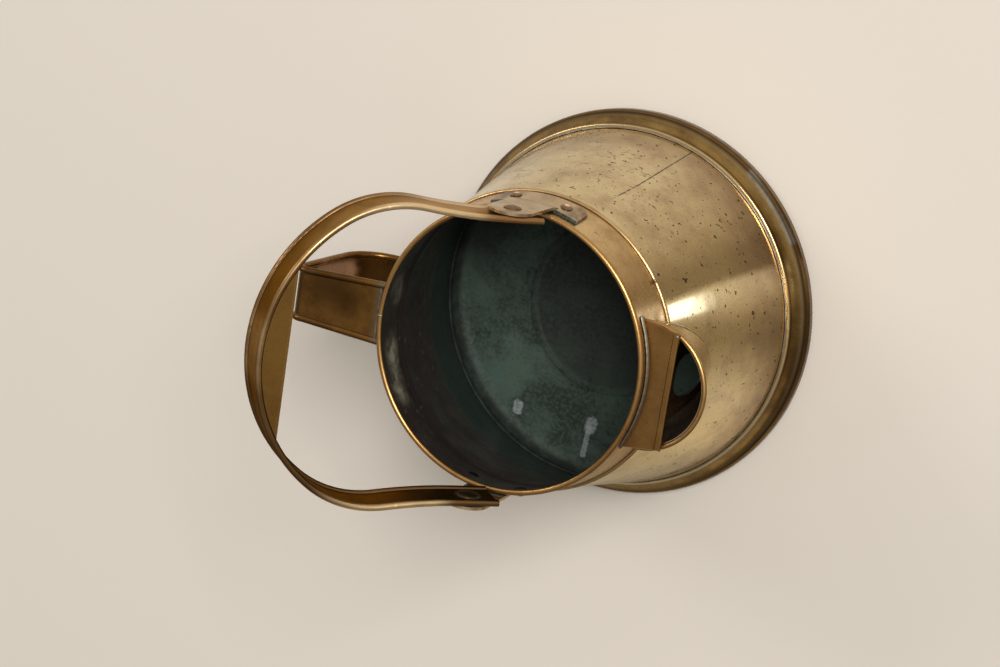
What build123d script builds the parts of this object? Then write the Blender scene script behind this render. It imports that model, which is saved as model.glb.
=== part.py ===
from build123d import *
import math
import os

# A Victorian hot water can of sheet brass: a conical body on a moulded foot, a neck with a wired rim,
# a scoop spout bridged at the back, a fixed strap handle, and a bail that swings on two riveted ears.
# Millimetres. The origin is the middle of the foot's resting plane, +Z runs up the can's axis,
# +X points to the spout and -X to the back handle. The bail turns about a line along Y.

# Sheet and joints
SHEET = 1.0                # brass sheet of body, neck, foot, spout and base
SOLDER_GAP = 0.1           # solder film between sheets that are soldered together
RIVET_GAP = 0.05           # play of a closed rivet in its holes

# Foot
FOOT_R = 115.0
FOOT_BAND_H = 7.4          # plain band above the resting edge
FOOT_RIDGE_INSET = 2.4     # from the band in to the small ridge where the hollow starts
FOOT_RIDGE_RISE = 1.0      # of the ridge above the band
FOOT_HOLLOW = 0.82         # depth of the hollow below a straight slope
FOOT_TOP_H = 18.4
FOOT_BEAD_R = 1.1
FOOT_SEAT_H = 2.0          # height of the strip that is soldered to the body
FOOT_WIRE_R = 1.25
HEM_H = 3.2

# Body: a cone from the top of the foot to the neck joint, outer radii
FOOT_STEP = 10.0           # from the foot's band in to the body's wall
BODY_TUCK = 9.4            # length of wall hidden in the foot
NECK_JOINT_R = 82.5
NECK_JOINT_Z = 132.5

# Base, set in the body above the foot
BASE_LIFT = 5.6            # floor of the can above the top of the foot
BASE_EDGE_H = 13.0         # height of its upturned edge
BASE_COVE_R = 8.0
BASE_RING_R = 50.0         # faint ring turned in the base
BASE_RING_H = 0.6
BASE_RING_W = 5.0

# Neck and mouth
NECK_LAP = 7.0             # skirt of the neck inside the body
NECK_BEAD_R = 1.3
NECK_STEP = 0.3            # from the joint in to the neck's wall
NECK_H = 30.7              # from the joint up to the centre line of the rim wire
NECK_TAPER = 4.8           # from the joint in to the centre line of the rim wire
RIM_WIRE_R = 1.6
RIM_JOINT = 0.5            # open joint of the rim wire, at the back

# Spout: a cone on circular level sections, cut to the can
SPOUT_H = 60.6             # from the cone's lowest full section up to the lip
SPOUT_LOW_R = 24.2
SPOUT_LOW_REACH = 1.1      # of the lowest section past the body's wall
LIP_DROP = 7.6             # of the lip wire's centre line below the rim wire's
LIP_R = 33.4
LIP_INSET = 0.4            # from the rim wire in to the middle of the lip
LIP_WIRE_R = 1.3
POUR_HOLE_R = 12.0         # the slot in the body behind the spout
POUR_HOLE_LIFT = 17.0      # of its lower round above the cone's lowest section
POUR_HOLE_H = 4.5          # between the middles of its two rounds

# Bridge plate over the rear of the spout's mouth
BRIDGE_REACH = 16.2        # from the middle of the lip to the plate's front edge
BRIDGE_REAR_OVERHANG = 2.2
BRIDGE_FRONT_INSET = 1.6
BRIDGE_HEM_W = 3.8
BRIDGE_HEM_T = 2.1

# Back handle: strap bent in the XZ plane, given by the corners of its centre line
HANDLE_DROP = 3.6          # of its neck end below the rim wire
HANDLE_REACH = 54.5        # of its upper corner behind the rim wire
HANDLE_RISE = 5.4          # of the upper corner above the neck end
HANDLE_H = 70.8            # between its two corners
HANDLE_LEAN = 3.0          # of the lower corner towards the can
HANDLE_FALL = 3.6          # from the lower corner down to the body
HANDLE_CORNER_BEND = 5.0
HANDLE_HEEL_BEND = 24.0
HANDLE_HALF = 15.8         # half the width over the rolled edges
HANDLE_NECK_HALF = 18.4    # the same, where the strap meets the neck
HANDLE_WAIST = 8.0         # from the upper corner back to where the arm starts to widen
HANDLE_WAIST_BEND = 20.0
HANDLE_WEB = 1.2
HANDLE_ROLL_R = 2.0
HANDLE_END = 8.0           # length cut off each end to fit the can

# Ears
PIVOT_LIFT = 20.8          # of the pivots above the rim wire
EAR_T = 1.6
EAR_RIM_GAP = 0.5          # between the rim wire and the tongue
EAR_HALF = 25.5            # half the width of the ear's foot on the neck
EAR_FOOT_LIFT = 5.4        # of the ear's lower edge above the neck's bead
EAR_SHOULDER_DROP = 6.2    # of its shoulders below the rim wire
EAR_CORNER_R = 5.0
TONGUE_HALF = 12.2
TONGUE_FLAT_DROP = 3.0     # the tongue is flat from this far below the rim wire
EAR_RIVET_X = 14.5
EAR_RIVET_LIFT = 8.0       # of the rivets above the ear's lower edge
EAR_RIVET_R = 1.7
EAR_RIVET_HEAD_R = 3.2
EAR_RIVET_HEAD_H = 1.5
EAR_RIVET_TAIL_H = 0.8

# Pivots: each pin is closed tight in its ear, and the bail runs on it
PIN_R = 3.0
PIN_RUNNING_GAP = 0.05
PIN_HEAD_R = 5.7
PIN_HEAD_INSET = 1.0       # the outer head is this much smaller
PIN_HEAD_H = 1.6
PIN_CLEARANCE = 0.15       # end play on each side of the strap
WASHER_R = 5.5

# Bail: a strap bent to an arch in its own plane, given by half its centre line
BAIL_LIFT = 47.0           # degrees above level, leaning towards the back handle
BAIL_EAR_GAP = 0.4         # between the ears and the strap's rolled edges
BAIL_TAIL = 13.8           # length past the pivots
BAIL_FLARE_START = 6.0     # distance from the pivots where the legs start to open
BAIL_LEG = 44.0            # length of the opening legs
BAIL_FLARE = 3.2           # how far each leg opens
ARCH_RISE = 78.2           # from the legs to the crown
ARCH_FULLNESS = 0.742      # the arch's shoulder radius, as a share of its rise
BAIL_WEB = 1.2
BAIL_ROLL_R = 1.8
BAIL_ROLL_SPAN = 21.0      # between the centre lines of the two rolled edges
ROLL_SHEET = 0.55          # thickness of the sheet where it is rolled round a wire

# Grip: a hollow segment between the arch's crown and a flat inner plate
GRIP_DEPTH = 14.6
GRIP_SHEET = 0.9

# Levels and radii that follow from these
BODY_LOW_R = FOOT_R - FOOT_STEP
BODY_EDGE_Z = FOOT_TOP_H - BODY_TUCK
BASE_Z = FOOT_TOP_H + BASE_LIFT
BASE_EDGE_Z = BASE_Z + BASE_EDGE_H
RIM_R = NECK_JOINT_R - NECK_TAPER
RIM_Z = NECK_JOINT_Z + NECK_H
LIP_X = RIM_R - LIP_INSET
LIP_Z = RIM_Z - LIP_DROP
SPOUT_LOW_Z = LIP_Z - SPOUT_H
BRIDGE_FRONT_X = LIP_X + BRIDGE_REACH
PIVOT_Z = RIM_Z + PIVOT_LIFT
EAR_FACE_Y = RIM_R + RIM_WIRE_R + EAR_RIM_GAP
BAIL_HALF = EAR_FACE_Y - BAIL_ROLL_R - BAIL_EAR_GAP
BAIL_REACH = BAIL_FLARE_START + BAIL_LEG + ARCH_RISE


# Body cone

def body_r(z):
    """Outer radius of the body's wall at height z."""
    slope = (NECK_JOINT_R - BODY_LOW_R) / (NECK_JOINT_Z - FOOT_TOP_H)
    return BODY_LOW_R + slope * (z - FOOT_TOP_H)


def body_inner_r(z):
    return body_r(z) - SHEET


# The neck runs from the top of its bead to just under the rim wire.
NECK_LOW_R = NECK_JOINT_R - NECK_STEP
NECK_LOW_Z = NECK_JOINT_Z + 2 * NECK_BEAD_R
NECK_TOP_Z = RIM_Z - RIM_WIRE_R - SOLDER_GAP
NECK_TOP_R = RIM_R + SHEET / 2


def neck_r(z):
    """Outer radius of the neck at height z."""
    slope = (NECK_TOP_R - NECK_LOW_R) / (NECK_TOP_Z - NECK_LOW_Z)
    return NECK_LOW_R + slope * (z - NECK_LOW_Z)


def turned(outline):
    """A solid of revolution about the can's axis, from a closed outline in the XZ plane."""
    return revolve(outline, Axis.Z)


def can_form(clearance):
    """The can's outer form without foot, spout and handles, larger by the clearance."""
    bead_r = NECK_JOINT_R + NECK_BEAD_R + clearance
    rim_low = RIM_Z - RIM_WIRE_R - clearance
    with BuildSketch(Plane.XZ) as outline:
        with BuildLine():
            Polyline(
                (0, 0),
                (body_r(0) + clearance, 0),
                (body_r(NECK_JOINT_Z - clearance) + clearance, NECK_JOINT_Z - clearance),
                (bead_r, NECK_JOINT_Z - clearance),
                (bead_r, NECK_LOW_Z + clearance),
                (neck_r(NECK_LOW_Z + clearance) + clearance, NECK_LOW_Z + clearance),
                (neck_r(rim_low) + clearance, rim_low),
                (RIM_R + RIM_WIRE_R + clearance, rim_low),
                (RIM_R + RIM_WIRE_R + clearance, RIM_Z + RIM_WIRE_R + clearance),
                (0, RIM_Z + RIM_WIRE_R + clearance),
                close=True,
            )
        make_face()
    return turned(outline.sketch)


# Spout cone

def spout_x(z):
    """Centre of the spout's level section at height z."""
    low_x = body_r(SPOUT_LOW_Z) - SPOUT_LOW_R + SPOUT_LOW_REACH
    return low_x + (LIP_X - low_x) * (z - SPOUT_LOW_Z) / SPOUT_H


def spout_r(z):
    """Outer radius of the spout's level section at height z."""
    return SPOUT_LOW_R + (LIP_R - SPOUT_LOW_R) * (z - SPOUT_LOW_Z) / SPOUT_H


def spout_cone(low_z, high_z, inset):
    sections = []
    for z in (low_z, high_z):
        sections.append(Location((spout_x(z), 0, z)) * Circle(spout_r(z) - inset))
    return loft(sections, ruled=True)


def make_body_shell():
    with BuildSketch(Plane.XZ) as wall:
        with BuildLine():
            Polyline(
                (body_r(BODY_EDGE_Z), BODY_EDGE_Z),
                (body_r(NECK_JOINT_Z), NECK_JOINT_Z),
                (body_inner_r(NECK_JOINT_Z), NECK_JOINT_Z),
                (body_inner_r(BODY_EDGE_Z), BODY_EDGE_Z),
                close=True,
            )
        make_face()
    shell = turned(wall.sketch)
    slot_middle = SPOUT_LOW_Z + POUR_HOLE_LIFT + POUR_HOLE_H / 2
    slot = Plane.YZ.offset(body_r(slot_middle)) * Location((0, slot_middle, 0)) * SlotOverall(
        POUR_HOLE_H + 2 * POUR_HOLE_R, 2 * POUR_HOLE_R, rotation=90
    )
    return shell - extrude(slot, POUR_HOLE_R, both=True)


def make_base_plate():
    low = BASE_Z - SHEET
    edge_r = body_inner_r(BASE_EDGE_Z) - SOLDER_GAP
    heel_z = BASE_Z + BASE_COVE_R
    heel_r = body_inner_r(heel_z) - SOLDER_GAP
    ring_in = BASE_RING_R - BASE_RING_W / 2
    ring_out = BASE_RING_R + BASE_RING_W / 2
    with BuildSketch(Plane.XZ) as pan:
        with BuildLine():
            Polyline((0, low), (0, BASE_Z), (ring_in, BASE_Z))
            ThreePointArc((ring_in, BASE_Z), (BASE_RING_R, BASE_Z + BASE_RING_H), (ring_out, BASE_Z))
            Line((ring_out, BASE_Z), (heel_r - SHEET - BASE_COVE_R, BASE_Z))
            inner_cove = TangentArc(
                (heel_r - SHEET - BASE_COVE_R, BASE_Z), (heel_r - SHEET, heel_z), tangent=(1, 0)
            )
            Polyline(inner_cove @ 1, (edge_r - SHEET, BASE_EDGE_Z), (edge_r, BASE_EDGE_Z), (heel_r, heel_z))
            outer_cove = TangentArc(
                (heel_r - SHEET - BASE_COVE_R, low), (heel_r, heel_z), tangent=(1, 0)
            )
            Line(outer_cove @ 0, (ring_out, low))
            ThreePointArc((ring_out, low), (BASE_RING_R, low + BASE_RING_H), (ring_in, low))
            Line((ring_in, low), (0, low))
        make_face()
    return turned(pan.sketch)


def make_foot_ring():
    seat_low = FOOT_TOP_H - FOOT_SEAT_H
    seat_top_r = body_r(FOOT_TOP_H) + SOLDER_GAP
    seat_low_r = body_r(seat_low) + SOLDER_GAP
    bead_out = seat_top_r + SHEET / 2 + 2 * FOOT_BEAD_R
    bead_z = FOOT_TOP_H - FOOT_BEAD_R
    hollow_top = (bead_out - SHEET / 2, bead_z - FOOT_BEAD_R)
    hem_out = FOOT_R - SHEET
    hem_in = hem_out - 2 * (FOOT_WIRE_R + 1.5 * SOLDER_GAP)
    ridge = (FOOT_R - FOOT_RIDGE_INSET, FOOT_BAND_H + FOOT_RIDGE_RISE)
    band_top = (ridge[0] + SHEET, FOOT_BAND_H)
    inner_hollow = (seat_low_r + SHEET, seat_low - SHEET)
    wall_in = (ridge[0] - SHEET, FOOT_BAND_H)
    with BuildSketch(Plane.XZ) as section:
        with BuildLine():
            Line((hem_in - SHEET, 0), (FOOT_R - SHEET / 2, 0))
            ThreePointArc(
                (FOOT_R - SHEET / 2, 0),
                (FOOT_R - 0.146 * SHEET, 0.146 * SHEET),
                (FOOT_R, SHEET / 2),
            )
            Line((FOOT_R, SHEET / 2), (FOOT_R, FOOT_BAND_H / 2))
            TangentArc((FOOT_R, FOOT_BAND_H / 2), band_top, tangent=(0, 1))
            Line(band_top, ridge)
            SagittaArc(ridge, hollow_top, FOOT_HOLLOW)
            ThreePointArc(hollow_top, (bead_out, bead_z), (bead_out - FOOT_BEAD_R, FOOT_TOP_H))
            Polyline(
                (bead_out - FOOT_BEAD_R, FOOT_TOP_H),
                (seat_top_r, FOOT_TOP_H),
                (seat_low_r, seat_low),
            )
            Line((seat_low_r, seat_low), inner_hollow)
            SagittaArc(inner_hollow, wall_in, -FOOT_HOLLOW)
            Polyline(
                wall_in,
                (hem_out, FOOT_BAND_H / 2),
                (hem_out, SHEET),
                (hem_in, SHEET),
                (hem_in, SHEET + HEM_H),
                (hem_in - SHEET, SHEET + HEM_H),
                (hem_in - SHEET, 0),
            )
        make_face()
    return turned(section.sketch)


def make_foot_wire():
    ring_r = FOOT_R - SHEET - FOOT_WIRE_R - 1.5 * SOLDER_GAP
    return Location((0, 0, SHEET + SOLDER_GAP + FOOT_WIRE_R)) * Torus(ring_r, FOOT_WIRE_R)


def make_neck_collar():
    skirt_z = NECK_JOINT_Z - NECK_LAP
    skirt_low_r = body_inner_r(skirt_z) - SOLDER_GAP
    skirt_top_r = body_inner_r(NECK_JOINT_Z) - SOLDER_GAP
    bead_mid = (NECK_JOINT_R + NECK_BEAD_R, NECK_JOINT_Z + NECK_BEAD_R)
    with BuildSketch(Plane.XZ) as section:
        with BuildLine():
            Polyline((skirt_low_r, skirt_z), (skirt_top_r, NECK_JOINT_Z), (NECK_JOINT_R, NECK_JOINT_Z))
            ThreePointArc((NECK_JOINT_R, NECK_JOINT_Z), bead_mid, (NECK_LOW_R, NECK_LOW_Z))
            Polyline(
                (NECK_LOW_R, NECK_LOW_Z),
                (NECK_TOP_R, NECK_TOP_Z),
                (NECK_TOP_R - SHEET, NECK_TOP_Z),
                (NECK_LOW_R - SHEET, NECK_LOW_Z),
                (skirt_top_r - SHEET, NECK_JOINT_Z),
                (skirt_low_r - SHEET, skirt_z),
                (skirt_low_r, skirt_z),
            )
        make_face()
    return turned(section.sketch)


def make_rim_wire():
    ring = Location((0, 0, RIM_Z)) * Torus(RIM_R, RIM_WIRE_R)
    joint = Location((-RIM_R, 0, RIM_Z)) * Box(4 * RIM_WIRE_R, RIM_JOINT, 4 * RIM_WIRE_R)
    return ring - joint


def make_spout_shell():
    low_z = SPOUT_LOW_Z - SPOUT_H / 4
    top_z = LIP_Z - LIP_WIRE_R / 2
    outer = spout_cone(low_z, top_z, 0)
    inner = spout_cone(low_z, top_z, SHEET)
    return outer - inner - can_form(SOLDER_GAP)


def make_spout_lip_wire():
    ring = Location((LIP_X, 0, LIP_Z)) * Torus(LIP_R + LIP_WIRE_R / 2, LIP_WIRE_R)
    seat = spout_cone(SPOUT_LOW_Z, LIP_Z - LIP_WIRE_R / 2 + SOLDER_GAP, -SOLDER_GAP)
    return ring - seat - can_form(SOLDER_GAP)


BRIDGE_Z = LIP_Z + LIP_WIRE_R + SOLDER_GAP


def make_bridge_plate():
    hem_rear = BRIDGE_FRONT_X - BRIDGE_HEM_W
    rear_half = LIP_R + BRIDGE_REAR_OVERHANG
    front_half = LIP_R - BRIDGE_FRONT_INSET
    shoulder_x = neck_r(BRIDGE_Z) * math.cos(math.asin(rear_half / neck_r(BRIDGE_Z)))
    plan = Polygon(
        (0, -rear_half),
        (shoulder_x, -rear_half),
        (BRIDGE_FRONT_X, -front_half),
        (BRIDGE_FRONT_X, front_half),
        (shoulder_x, rear_half),
        (0, rear_half),
        align=None,
    )
    plate = Location((0, 0, BRIDGE_Z)) * extrude(plan, SHEET)
    hem = Location(((hem_rear + BRIDGE_FRONT_X) / 2, 0, BRIDGE_Z + BRIDGE_HEM_T / 2)) * Box(
        BRIDGE_HEM_W, 2 * front_half, BRIDGE_HEM_T
    )
    hem = fillet(hem.edges().filter_by(Axis.Y).group_by(Axis.Z)[-1], 0.45 * BRIDGE_HEM_T)
    return plate + hem - can_form(SOLDER_GAP)


# Straps with rolled edges: the back handle and the bail

def strap_outline(half, web, roll_r):
    """Section of a strap: a thin web between two rolled edges. half reaches the outside."""
    centre = half - roll_r
    outline = Rectangle(2 * centre, web)
    for side in (-1, 1):
        outline += Location((side * centre, 0, 0)) * Circle(roll_r)
    return outline


def roll_circle(half, roll_r, radius, side):
    """Section of what lies in one rolled edge."""
    return Location((side * (half - roll_r), 0, 0)) * Circle(radius)


def across(edge, position, width_dir):
    """The plane square to an edge, its X along the strap's width."""
    return Plane(origin=edge @ position, x_dir=width_dir, z_dir=edge % position)


def run_along(edges, section, width_dir):
    """The section run along straight and round edges that join smoothly."""
    form = Part()
    for edge in edges:
        start = across(edge, 0, width_dir) * section
        if edge.geom_type == GeomType.LINE:
            form += extrude(start, edge.length, dir=edge % 0)
        else:
            spoke = edge @ 0 - edge.arc_center
            turn = Axis(edge.arc_center, spoke.cross(edge % 0))
            form += revolve(start, turn, revolution_arc=math.degrees(edge.length / edge.radius))
    return form


# Back handle

def bent_line(points, bends):
    """Straight and round edges from the first point to the last, bent at each point between them."""
    edges = []
    start = points[0]
    for before, bend_at, after, bend in zip(points, points[1:], points[2:], bends):
        way_in = (bend_at - before).normalized()
        way_out = (after - bend_at).normalized()
        setback = bend * math.tan(math.radians(way_in.get_angle(way_out)) / 2)
        arc_start = bend_at - way_in * setback
        arc_end = bend_at + way_out * setback
        edges.append(Edge.make_line(start, arc_start))
        edges.append(Edge.make_tangent_arc(arc_start, way_in, arc_end))
        start = arc_end
    edges.append(Edge.make_line(start, points[-1]))
    return edges


def handle_points():
    """Corners of the centre line, from inside the neck round to inside the body."""
    neck_z = RIM_Z - HANDLE_DROP
    neck = Vector(HANDLE_END - neck_r(neck_z), 0, neck_z)
    corner = Vector(-RIM_R - HANDLE_REACH, 0, neck_z + HANDLE_RISE)
    heel = corner + Vector(HANDLE_LEAN, 0, -HANDLE_H)
    foot_z = heel.Z - HANDLE_FALL
    foot = Vector(HANDLE_END - body_r(foot_z), 0, foot_z)
    waist = corner + (neck - corner).normalized() * HANDLE_WAIST
    return neck, waist, corner, heel, foot


def make_handle_web():
    """The flat of the strap: the top arm narrows from the neck to its waist, and the rest is even."""
    neck, waist, corner, heel, foot = handle_points()
    wide = HANDLE_NECK_HALF - HANDLE_ROLL_R
    narrow = HANDLE_HALF - HANDLE_ROLL_R
    arm = waist - neck
    face = Plane(origin=neck, x_dir=arm, z_dir=arm.cross(Vector(0, 1, 0)))
    plan = Polygon((0, -wide), (arm.length, -narrow), (arm.length, narrow), (0, wide), align=None)
    path = bent_line([waist, corner, heel, foot], (HANDLE_CORNER_BEND, HANDLE_HEEL_BEND))
    rest = run_along(path, Rectangle(2 * narrow, HANDLE_WEB), Vector(0, 1, 0))
    return extrude(face * plan, HANDLE_WEB / 2, both=True) + rest


def along_handle_edge(radius, side):
    """A round bar along one rolled edge of the handle."""
    neck, *rest = handle_points()
    wide = Vector(0, side * (HANDLE_NECK_HALF - HANDLE_ROLL_R), 0)
    even = Vector(0, side * (HANDLE_HALF - HANDLE_ROLL_R), 0)
    bends = (HANDLE_WAIST_BEND, HANDLE_CORNER_BEND, HANDLE_HEEL_BEND)
    path = bent_line([neck + wide] + [point + even for point in rest], bends)
    return run_along(path, Circle(radius), Vector(0, 1, 0))


def make_back_handle():
    strap = make_handle_web()
    for side in (-1, 1):
        strap += along_handle_edge(HANDLE_ROLL_R, side)
    for side in (-1, 1):
        strap -= along_handle_edge(HANDLE_ROLL_R - ROLL_SHEET, side)
    return strap - can_form(SOLDER_GAP)


def make_back_handle_wire(side):
    wire = along_handle_edge(HANDLE_ROLL_R - ROLL_SHEET - SOLDER_GAP, side)
    return wire - can_form(SOLDER_GAP)


# Rivets

def button(radius, height):
    """A low round head that stands on the XY plane, domed above a short straight edge."""
    dome = 0.75 * height
    ball_r = (radius**2 + dome**2) / (2 * dome)
    blank = Cylinder(radius, height, align=(Align.CENTER, Align.CENTER, Align.MIN))
    return blank & Location((0, 0, height - ball_r)) * Sphere(ball_r)


def rivet(shank_r, grip, head_r, head_h, tail_r, tail_h):
    """A rivet with its shank from the origin up to the head, and its tail below the origin."""
    head = Location((0, 0, grip)) * button(head_r, head_h)
    tail = Rotation(180, 0, 0) * button(tail_r, tail_h)
    shank = Location((0, 0, grip / 2)) * Cylinder(shank_r, grip)
    return head + shank + tail


# Ears

EAR_LOW_Z = NECK_LOW_Z + EAR_FOOT_LIFT
EAR_SHOULDER_Z = RIM_Z - EAR_SHOULDER_DROP


def ear_rivet_places():
    """One plane on the neck's inner face for each ear rivet, its Z out of the neck."""
    rivet_z = EAR_LOW_Z + EAR_RIVET_LIFT
    wall_r = neck_r(rivet_z) - SHEET
    lean = math.atan2(NECK_LOW_R - NECK_TOP_R, NECK_TOP_Z - NECK_LOW_Z)
    places = []
    for side in (-1, 1):
        for x in (-EAR_RIVET_X, EAR_RIVET_X):
            out = Vector(x, side * math.sqrt(wall_r**2 - x**2), 0) / wall_r
            normal = out * math.cos(lean) + Vector(0, 0, math.sin(lean))
            places.append(Plane(origin=out * wall_r + Vector(0, 0, rivet_z), z_dir=normal))
    return places


def rivet_holes():
    holes = Part()
    for place in ear_rivet_places():
        holes += place * Cylinder(EAR_RIVET_R + RIVET_GAP, 4 * (SHEET + EAR_T))
    return holes


def make_ear_rivets():
    start = Location((0, 0, -SOLDER_GAP))
    grip = SHEET + EAR_T + 3 * SOLDER_GAP
    rivets = []
    for place in ear_rivet_places():
        shape = rivet(EAR_RIVET_R, grip, EAR_RIVET_HEAD_R, EAR_RIVET_HEAD_H,
                      EAR_RIVET_HEAD_R, EAR_RIVET_TAIL_H)
        rivets.append((place * start * shape).solid())
    return Compound(children=rivets)


def make_ear(side):
    """An ear is one plate: a foot curved to the neck, a pressed step over the rim, a flat tongue."""
    step_z = (EAR_LOW_Z + 3 * EAR_SHOULDER_Z) / 4
    flat_z = RIM_Z - TONGUE_FLAT_DROP
    with BuildSketch(Plane.XZ) as band:
        with BuildLine():
            Polyline(
                (neck_r(EAR_LOW_Z) + SOLDER_GAP, EAR_LOW_Z),
                (neck_r(EAR_LOW_Z) + SOLDER_GAP + EAR_T, EAR_LOW_Z),
                (neck_r(EAR_SHOULDER_Z) + SOLDER_GAP + EAR_T, EAR_SHOULDER_Z),
                (neck_r(EAR_SHOULDER_Z) + SOLDER_GAP, EAR_SHOULDER_Z),
                close=True,
            )
        make_face()
    plan_h = EAR_SHOULDER_Z - EAR_LOW_Z
    plan = Rectangle(2 * EAR_HALF, plan_h)
    plan = fillet(plan.vertices().group_by(Axis.Y)[0], EAR_CORNER_R)
    plan = Plane.XZ * Location((0, (EAR_LOW_Z + EAR_SHOULDER_Z) / 2, 0)) * plan
    foot = turned(band.sketch) & extrude(plan, -2 * neck_r(EAR_LOW_Z))

    inner_r = neck_r(step_z) + SOLDER_GAP
    outer_r = inner_r + EAR_T
    inner_y = math.sqrt(inner_r**2 - TONGUE_HALF**2)
    outer_y = math.sqrt(outer_r**2 - TONGUE_HALF**2)
    with BuildSketch(Plane.XY.offset(step_z)) as step_low:
        with BuildLine():
            ThreePointArc((-TONGUE_HALF, inner_y), (0, inner_r), (TONGUE_HALF, inner_y))
            Line((TONGUE_HALF, inner_y), (TONGUE_HALF, outer_y))
            ThreePointArc((TONGUE_HALF, outer_y), (0, outer_r), (-TONGUE_HALF, outer_y))
            Line((-TONGUE_HALF, outer_y), (-TONGUE_HALF, inner_y))
        make_face()
    step_high = Location((0, EAR_FACE_Y + EAR_T / 2, flat_z)) * Rectangle(2 * TONGUE_HALF, EAR_T)
    step = loft([step_low.sketch, step_high], ruled=True)

    tongue = Rectangle(2 * TONGUE_HALF, PIVOT_Z - flat_z, align=(Align.CENTER, Align.MAX))
    tongue += Circle(TONGUE_HALF)
    tongue -= Circle(PIN_R + RIVET_GAP)
    tongue = extrude(Plane.XZ.offset(-EAR_FACE_Y) * Location((0, PIVOT_Z, 0)) * tongue, -EAR_T)

    ear = foot + step + tongue
    if side < 0:
        ear = mirror(ear, Plane.XZ)
    return ear - rivet_holes()


# Pivot pins and washers

def pivot_plane(side):
    """Z runs outwards along the pivot's line, from the can's middle plane."""
    return Plane(origin=(0, 0, PIVOT_Z), x_dir=(1, 0, 0), z_dir=(0, side, 0))


def make_pivot_pin(side):
    inner_face = BAIL_HALF - BAIL_WEB / 2 - PIN_CLEARANCE
    grip = EAR_FACE_Y + EAR_T - inner_face
    pin = rivet(PIN_R, grip, PIN_HEAD_R - PIN_HEAD_INSET, PIN_HEAD_H, PIN_HEAD_R, PIN_HEAD_H)
    return pivot_plane(side) * Location((0, 0, inner_face)) * pin


def make_pivot_washers():
    low = BAIL_HALF + BAIL_WEB / 2 + PIN_CLEARANCE
    ring = Circle(WASHER_R) - Circle(PIN_R + RIVET_GAP)
    washers = []
    for side in (-1, 1):
        washer = extrude(pivot_plane(side) * Location((0, 0, low)) * ring, EAR_FACE_Y - low)
        washers.append(washer.solid())
    return Compound(children=washers)


# Bail, drawn in its own plane: local X runs from the pivots to the crown, local Y is the pivot line

LIFT = math.radians(BAIL_LIFT)
BAIL_PLANE = Plane(
    origin=(0, 0, PIVOT_Z),
    x_dir=(-math.cos(LIFT), 0, math.sin(LIFT)),
    z_dir=(-math.sin(LIFT), 0, -math.cos(LIFT)),
)
BAIL_OUTSIDE = BAIL_ROLL_SPAN / 2 + BAIL_ROLL_R    # half the strap's width over its rolled edges


SHOULDER_S = BAIL_FLARE_START + BAIL_LEG           # where the arch's shoulders start
SHOULDER_HALF = BAIL_HALF + BAIL_FLARE


def arch():
    """The arch's shoulder centre and its crown centre and radius."""
    bend = ARCH_FULLNESS * ARCH_RISE
    lean = 2 * math.atan2(BAIL_FLARE, BAIL_LEG)
    shoulder_x = SHOULDER_S + bend * math.sin(lean)
    shoulder_y = SHOULDER_HALF - bend * math.cos(lean)
    spare = BAIL_REACH - bend
    crown_x = (spare**2 - shoulder_x**2 - shoulder_y**2) / (2 * (spare - shoulder_x))
    return (shoulder_x, shoulder_y), crown_x, BAIL_REACH - crown_x


def bail_path():
    """Centre line of the bail's web, from one tail over the crown to the other."""
    (shoulder_x, shoulder_y), crown_x, crown_r = arch()
    meet = Vector(shoulder_x - crown_x, shoulder_y, 0).normalized() * crown_r + Vector(crown_x, 0, 0)
    points = {
        "tail": Vector(-BAIL_TAIL, BAIL_HALF, 0),
        "flare": Vector(BAIL_FLARE_START, BAIL_HALF, 0),
        "shoulder": Vector(SHOULDER_S, SHOULDER_HALF, 0),
        "meet": meet,
    }
    here = {name: BAIL_PLANE.from_local_coords(point) for name, point in points.items()}
    there = {name: Vector(point.X, -point.Y, point.Z) for name, point in here.items()}
    crown = BAIL_PLANE.from_local_coords(Vector(BAIL_REACH, 0, 0))
    outwards = BAIL_PLANE.x_dir
    leg = Edge.make_tangent_arc(here["flare"], outwards, here["shoulder"])
    bend = Edge.make_tangent_arc(here["shoulder"], leg % 1, here["meet"])
    arch_edge = Edge.make_three_point_arc(here["meet"], crown, there["meet"])
    far_bend = Edge.make_tangent_arc(there["meet"], arch_edge % 1, there["shoulder"])
    far_leg = Edge.make_tangent_arc(there["shoulder"], far_bend % 1, there["flare"])
    return [
        Edge.make_line(here["tail"], here["flare"]),
        leg,
        bend,
        arch_edge,
        far_bend,
        far_leg,
        Edge.make_line(there["flare"], there["tail"]),
    ]


def make_bail_strap():
    path = bail_path()
    width = BAIL_PLANE.z_dir
    strap = run_along(path, strap_outline(BAIL_OUTSIDE, BAIL_WEB, BAIL_ROLL_R), width)
    for side in (-1, 1):
        bore = roll_circle(BAIL_OUTSIDE, BAIL_ROLL_R, BAIL_ROLL_R - ROLL_SHEET, side)
        strap -= run_along(path, bore, width)
    for side in (-1, 1):
        hole = Location((0, 0, BAIL_HALF)) * Cylinder(PIN_R + PIN_RUNNING_GAP, 4 * BAIL_WEB)
        strap -= pivot_plane(side) * hole
    return strap


def make_bail_wire(side):
    wire_r = BAIL_ROLL_R - ROLL_SHEET - SOLDER_GAP
    return run_along(bail_path(), roll_circle(BAIL_OUTSIDE, BAIL_ROLL_R, wire_r, side), BAIL_PLANE.z_dir)


def crown_segment(chord_s, low, high):
    """The space between the arch's rolled edges and a chord, between two levels in the bail's width."""
    _, crown_x, crown_r = arch()
    radius = crown_r - BAIL_ROLL_R - SOLDER_GAP
    disc = Location((crown_x, 0, 0)) * Circle(radius)
    keep = Location((chord_s, 0, 0)) * Rectangle(radius, 2 * radius, align=(Align.MIN, Align.CENTER))
    return extrude(BAIL_PLANE.offset(low) * (disc & keep), high - low)


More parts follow.
